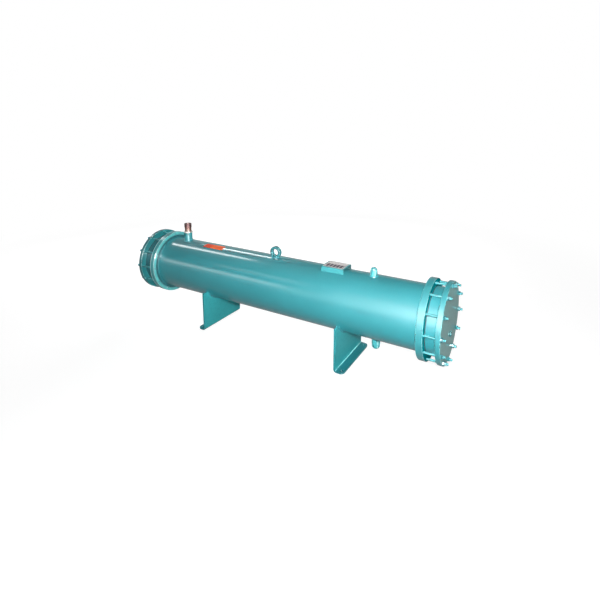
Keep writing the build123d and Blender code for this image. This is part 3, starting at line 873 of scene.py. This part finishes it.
# %% [markdown]
# ## Welds of the water sockets
# The two water sockets are half couplings welded flat on the left cover. Their beads need no draping,
# so each is a plain torus round the socket, rippled as the others are.

# %% Water socket welds
WATER_SECTION, WATER_RIPPLE = 4 * MM, 0.6 * MM
WATER_STAND_OFF = 1.2 * MM
cover_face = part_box("left_cover")[0].x
for node in ("water_inlet_socket", "water_outlet_socket"):
    low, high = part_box(node)
    radius = (high.y - low.y) / 2
    mid_z = (low.z + high.z) / 2
    ripples = round(2 * pi * radius / RIPPLE_PITCH)
    piece = torus(node.replace("socket", "weld"), radius + WATER_STAND_OFF, WATER_SECTION,
                  (cover_face, 0, mid_z), (0, pi / 2, 0), ripples * RINGS_PER_RIPPLE)
    ripple(piece, lambda p: atan2(p.y, p.z - mid_z) * radius, 2 * pi * radius / ripples, WATER_RIPPLE)
    settle(piece, pipe_enamel)

# %% [markdown]
# ## Braze at the copper stub
# Where the copper tube goes into its steel socket, brazing filler has run round the joint and frozen
# to a low smooth fillet, silver white with grey flux stains. It is a torus, drawn up a little along the
# tube as the filler creeps, and rippled in a few slow lobes.

# %% Brazing filler
FLUX_STAIN, FLUX_TONE, FILLER_TONE = 6 * MM, "9A928A", "EDEAE4"
BRAZE_SECTION, BRAZE_STAND_OFF = 3.2 * MM, 0.6 * MM
BRAZE_CREEP = 1.3
BRAZE_LOBES, BRAZE_LOBE_DEPTH = 7, 0.5 * MM
material, tree, place = new_material("brazing filler with flux stain")
stain = add_node(tree, "TexNoise", {"Vector": place, "Scale": 1 / FLUX_STAIN, "Detail": 4.0})
colour = add_node(tree, "Mix", {0: stain, 6: FLUX_TONE, 7: FILLER_TONE}, data_type="RGBA")
skin = add_node(tree, "Bump", {"Height": stain, "Strength": 0.3, "Distance": 0.3 * MM})
filler = add_node(tree, "BsdfPrincipled",
                  {"Base Color": colour, "Metallic": 0.7, "Roughness": 0.5, "Normal": skin})
braze_metal = finish_material(material, filler)

stub_r = (stub_high.y - stub_low.y) / 2
braze_place = (gas_x, 0, socket_high.z)
piece = torus("gas_stub_braze", stub_r + BRAZE_STAND_OFF, BRAZE_SECTION, braze_place)
stretch(piece, (1, 1, BRAZE_CREEP), braze_place)
ripple(piece, lambda p: atan2(p.y, p.x - gas_x) * stub_r, 2 * pi * stub_r / BRAZE_LOBES, BRAZE_LOBE_DEPTH)
settle(piece, braze_metal)

# %% [markdown]
# ## Threads
# The stud tips and the water sockets are threaded. A thread is a three-cornered ridge that climbs one
# pitch a turn, which is what the Screw modifier makes from one small triangle. A stud is sawn from rod
# and dressed with a file, so its tip is a short bevelled core with the ridge round it, a few
# millimetres longer than drawn. It is made once and copied to every stud of an end. The socket thread
# stands inside the bore.

# %% Thread ridge
def thread_ridge(name, radius, height, pitch, turns, steps):
    """A helical ridge about Z, starting at z 0; a negative height points it inwards."""
    bpy.ops.object.select_all(action="DESELECT")
    bpy.ops.mesh.primitive_circle_add(vertices=3, radius=abs(height), fill_type="NOTHING",
                                      location=(radius, 0, 0),
                                      rotation=(pi / 2, radians(90 if height > 0 else -90), 0))
    piece = name_new(name)
    screw = piece.modifiers.new("thread", "SCREW")
    screw.axis = "Z"
    screw.screw_offset = pitch
    screw.iterations = turns
    screw.steps = screw.render_steps = steps
    bpy.ops.object.modifier_apply(modifier=screw.name)
    open_all(piece)
    bpy.ops.mesh.fill_holes(sides=0)
    bpy.ops.mesh.normals_make_consistent(inside=False)
    bpy.ops.object.mode_set(mode="OBJECT")
    return piece


# %% Stud tips
STUD_R = 5 * MM
STUD_COUNT = 12
STUD_PITCH = 1.5 * MM
TIP_TURNS = 4
TIP_EXTRA = 4 * MM
TIP_CHAMFER = 0.9 * MM
TIP_RIDGE = 0.5 * MM
TIP_SKIN = 0.02 * MM
TIP_STEPS = 16
thread_length = TIP_TURNS * STUD_PITCH
for side, outwards in (("left", -1), ("right", 1)):
    low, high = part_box(side + "_studs")
    bolt_circle_r = high.z - AXIS_Z - STUD_R
    tip = (high.x if outwards > 0 else low.x) + outwards * TIP_EXTRA
    ridge = thread_ridge(side + "_tip_ridge", STUD_R, TIP_RIDGE, STUD_PITCH, TIP_TURNS, TIP_STEPS)
    bpy.ops.object.select_all(action="DESELECT")
    bpy.ops.mesh.primitive_cylinder_add(vertices=32, radius=STUD_R + TIP_SKIN, depth=thread_length,
                                        location=(0, 0, thread_length / 2))
    pattern = name_new(side + "_tip_pattern")
    open_all(pattern)
    for way in (1, -1):
        select_facing(pattern, 2, way)
        bpy.ops.mesh.inset(thickness=TIP_CHAMFER)
        bpy.ops.transform.translate(value=(0, 0, way * TIP_CHAMFER))
    bpy.ops.object.mode_set(mode="OBJECT")
    only(pattern)
    ridge.select_set(True)
    bpy.ops.object.join()
    open_all(pattern)
    bpy.ops.transform.rotate(value=outwards * pi / 2, orient_axis="Y", center_override=(0, 0, 0))
    bpy.ops.object.mode_set(mode="OBJECT")
    spans = [vertex.co.x for vertex in pattern.data.vertices]
    print(side, "tip runs from", round(min(spans) / MM, 2), "to", round(max(spans) / MM, 2), "mm")
    outer_end = max(spans) if outwards > 0 else min(spans)
    turns = [2 * pi * number / STUD_COUNT for number in range(STUD_COUNT)]
    places = [(tip - outer_end, bolt_circle_r * sin(turn), AXIS_Z + bolt_circle_r * cos(turn))
              for turn in turns]
    piece = join_copies(pattern, places, side + "_stud_tips")
    settle(piece, fitting_enamel, 25)

# %% Water socket threads
SOCKET_THREAD_R, SOCKET_RIDGE, SOCKET_PITCH = 28.6 * MM, 1.4 * MM, 2.31 * MM
SOCKET_TURNS, SOCKET_STEPS = 11, 72
SOCKET_LEAD = 1.5 * MM
for node in ("water_inlet_socket", "water_outlet_socket"):
    low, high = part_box(node)
    piece = thread_ridge(node.replace("socket", "thread"), SOCKET_THREAD_R, -SOCKET_RIDGE, SOCKET_PITCH,
                         SOCKET_TURNS, SOCKET_STEPS)
    open_all(piece)
    bpy.ops.transform.rotate(value=pi / 2, orient_axis="Y", center_override=(0, 0, 0))
    bpy.ops.object.mode_set(mode="OBJECT")
    start = min(vertex.co.x for vertex in piece.data.vertices)
    piece.location = (low.x + SOCKET_LEAD - start, 0, (low.z + high.z) / 2)
    only(piece)
    bpy.ops.object.transform_apply(location=True, rotation=True, scale=True)
    settle(piece, bare_steel, 25)

# %% [markdown]
# ## Drain plug
# A hexagon plug with a soft washer closes the drain in the right cover. The CAD solid is a plain
# hexagon, so this piece stands in for it with the bevelled top face of a real plug: the outer face is
# inset and drawn out, the edges are eased, and a shank goes down into the cover.

# %% Drain plug
PLUG_WASHER, WASHER_SECTION = 1.4 * MM, 1.6 * MM
WASHER_SHARE = 0.52
PLUG_BODY = 0.8
PLUG_TOP_INSET, PLUG_SHANK_INSET = 1.3 * MM, 2.6 * MM
PLUG_SHANK, PLUG_ROUND = 12 * MM, 0.6 * MM
low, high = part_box("drain_plug")
plug_y = (low.y + high.y) / 2
plug_z = (low.z + high.z) / 2
right_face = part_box("right_cover")[1].x
across_flats = min(high.y - low.y, high.z - low.z)
head = high.x - right_face - PLUG_WASHER
body = head * PLUG_BODY
bpy.ops.object.select_all(action="DESELECT")
bpy.ops.mesh.primitive_cylinder_add(vertices=6, radius=across_flats / sqrt(3), depth=body,
                                    location=(right_face + PLUG_WASHER + body / 2, plug_y, plug_z),
                                    rotation=(0, pi / 2, 0))
piece = name_new("drain_plug_head")
open_all(piece)
select_facing(piece, 0, 1)
bpy.ops.mesh.inset(thickness=PLUG_TOP_INSET)
bpy.ops.transform.translate(value=(head - body, 0, 0))
select_facing(piece, 0, -1)
bpy.ops.mesh.inset(thickness=PLUG_SHANK_INSET)
bpy.ops.mesh.extrude_region_move(TRANSFORM_OT_translate={"value": (-PLUG_SHANK, 0, 0)})
bpy.ops.mesh.select_mode(type="EDGE")
bpy.ops.mesh.select_all(action="SELECT")
bpy.ops.mesh.bevel(offset=PLUG_ROUND, segments=3, clamp_overlap=True)
bpy.ops.mesh.normals_make_consistent(inside=False)
bpy.ops.object.mode_set(mode="OBJECT")
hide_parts("drain_plug")
settle(piece, shaded_nut_enamel, 50)

washer_place = (right_face + PLUG_WASHER / 2, plug_y, plug_z)
piece = torus("drain_plug_washer", across_flats * WASHER_SHARE, WASHER_SECTION, washer_place,
              (0, pi / 2, 0), segments=48, sides=8)
stretch(piece, (PLUG_WASHER / (2 * WASHER_SECTION), 1, 1), washer_place)
settle(piece, gasket_sheet)

# %% [markdown]
# ## Nameplate rivets
# Four small steel drive rivets hold the plate to its stand. A rivet head is a low dome: a ball cut
# through with bisect, flattened, and copied to the four corners.

# %% Rivets
RIVET_R, RIVET_INSET = 2.6 * MM, 5 * MM
RIVET_FLATNESS = 0.55
RIVET_SEAT = 0.05 * MM
CUT_HEIGHT = 0.01 * MM
bpy.ops.object.select_all(action="DESELECT")
bpy.ops.mesh.primitive_uv_sphere_add(segments=20, ring_count=12, radius=RIVET_R, location=(0, 0, 0))
rivet = name_new("rivet_pattern")
open_all(rivet)
bpy.ops.mesh.bisect(plane_co=(0, 0, CUT_HEIGHT), plane_no=(0, 0, 1), use_fill=True, clear_inner=True)
bpy.ops.object.mode_set(mode="OBJECT")
stretch(rivet, (1, 1, RIVET_FLATNESS), (0, 0, 0))
places = [(x, y, plate_high.z - RIVET_SEAT)
          for x in (plate_low.x + RIVET_INSET, plate_high.x - RIVET_INSET)
          for y in (plate_low.y + RIVET_INSET, plate_high.y - RIVET_INSET)]
piece = join_copies(rivet, places, "nameplate_rivets")
settle(piece, bare_steel)

# %% [markdown]
# ## Tack welds of the nameplate stand
# The stand is thin sheet, so it is only tacked: a short blob of weld near each corner of its two feet.
# Each is a ball drawn out along the foot and rippled like the other beads.

# %% Stand tacks
TACK_HALF, TACK_SECTION, TACK_INSET = 9 * MM, 2.8 * MM, 16 * MM
TACK_PITCH, TACK_RIPPLE = 4.5 * MM, 0.5 * MM
low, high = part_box("nameplate_bracket")
corners = [(x, y) for y in (low.y, high.y) for x in (low.x + TACK_INSET, high.x - TACK_INSET)]
for number, (x, y) in enumerate(corners, 1):
    place = (x, y, AXIS_Z + sqrt(SHELL_R ** 2 - y ** 2))
    bpy.ops.object.select_all(action="DESELECT")
    bpy.ops.mesh.primitive_uv_sphere_add(segments=24, ring_count=16, radius=TACK_SECTION, location=place,
                                         rotation=(0, pi / 2, 0))
    piece = name_new(f"stand_tack_{number}")
    stretch(piece, (TACK_HALF / TACK_SECTION, 1, 1), place)
    ripple(piece, lambda p: p.x - x, TACK_PITCH, TACK_RIPPLE)
    settle(piece, pipe_enamel)

# %% [markdown]
# ## Orange vinyl patch
# A plain fluorescent orange vinyl patch is stuck on the crown near the gas inlet and hangs down the
# front. Such film gives back daylight as more orange; here it gets a faint orange glow of its own, which
# is painted light. It is cut flat with round corners, then laid on the pipe: a plane has its corners
# bevelled, is cut across by bisect so that it can bend, is wrapped round the shell in code, and gets its
# thickness from Solidify.

# %% Vinyl
PATCH_X = (-455 * MM, -332 * MM)
PATCH_DROP = 40.5 * MM
PATCH_BLOCK = 48 * MM
PATCH_CORNER, PATCH_THICKNESS = 4 * MM, 0.35 * MM
PATCH_CUTS = 12
FADE_SIZE = 20 * MM
ORANGE, BLOCK_TONE, FADED_TONE, PAINTED_GLOW_TONE = "FF6A2C", "E8431C", "E58A5C", "FF5418"
material, tree, place = new_material("orange printed vinyl")
axes = add_node(tree, "SeparateXYZ", {0: place})
fade = add_node(tree, "TexNoise", {"Vector": place, "Scale": 1 / FADE_SIZE, "Detail": 4.0})
block = add_node(tree, "Math", {0: axes.outputs["X"], 1: PATCH_X[0] + PATCH_BLOCK}, operation="LESS_THAN")
base = add_node(tree, "Mix", {0: block, 6: ORANGE, 7: BLOCK_TONE}, data_type="RGBA")
worn = add_node(tree, "MapRange", {"Value": fade, "From Min": 0.5, "From Max": 0.8, "To Max": 0.30})
colour = add_node(tree, "Mix", {0: worn, 6: base, 7: FADED_TONE}, data_type="RGBA")
# Painted light: the film glows faintly orange by itself.
film = add_node(tree, "BsdfPrincipled",
                {"Base Color": colour, "Roughness": 0.62, "Specular IOR Level": 0.25,
                 "Emission Color": PAINTED_GLOW_TONE, "Emission Strength": 0.17})
orange_vinyl = finish_material(material, film)

patch_mid = ((PATCH_X[0] + PATCH_X[1]) / 2, -PATCH_DROP / 2, CROWN_Z)
bpy.ops.object.select_all(action="DESELECT")
bpy.ops.mesh.primitive_plane_add(size=1, location=patch_mid)
piece = name_new("orange_patch")
stretch(piece, (PATCH_X[1] - PATCH_X[0], PATCH_DROP, 1), patch_mid)
open_all(piece)
bpy.ops.mesh.bevel(offset=PATCH_CORNER, segments=5, affect="VERTICES")
for cut in range(1, PATCH_CUTS):
    bpy.ops.mesh.select_all(action="SELECT")
    bpy.ops.mesh.bisect(plane_co=(0, -PATCH_DROP * cut / PATCH_CUTS, 0), plane_no=(0, 1, 0))
bpy.ops.object.mode_set(mode="OBJECT")
for vertex in piece.data.vertices:
    turn = vertex.co.y / SHELL_R
    vertex.co.y = SHELL_R * sin(turn)
    vertex.co.z = AXIS_Z + SHELL_R * cos(turn)
solid = piece.modifiers.new("film", "SOLIDIFY")
solid.thickness = PATCH_THICKNESS
solid.offset = 1
only(piece)
bpy.ops.object.modifier_apply(modifier=solid.name)
settle(piece, orange_vinyl, 30)
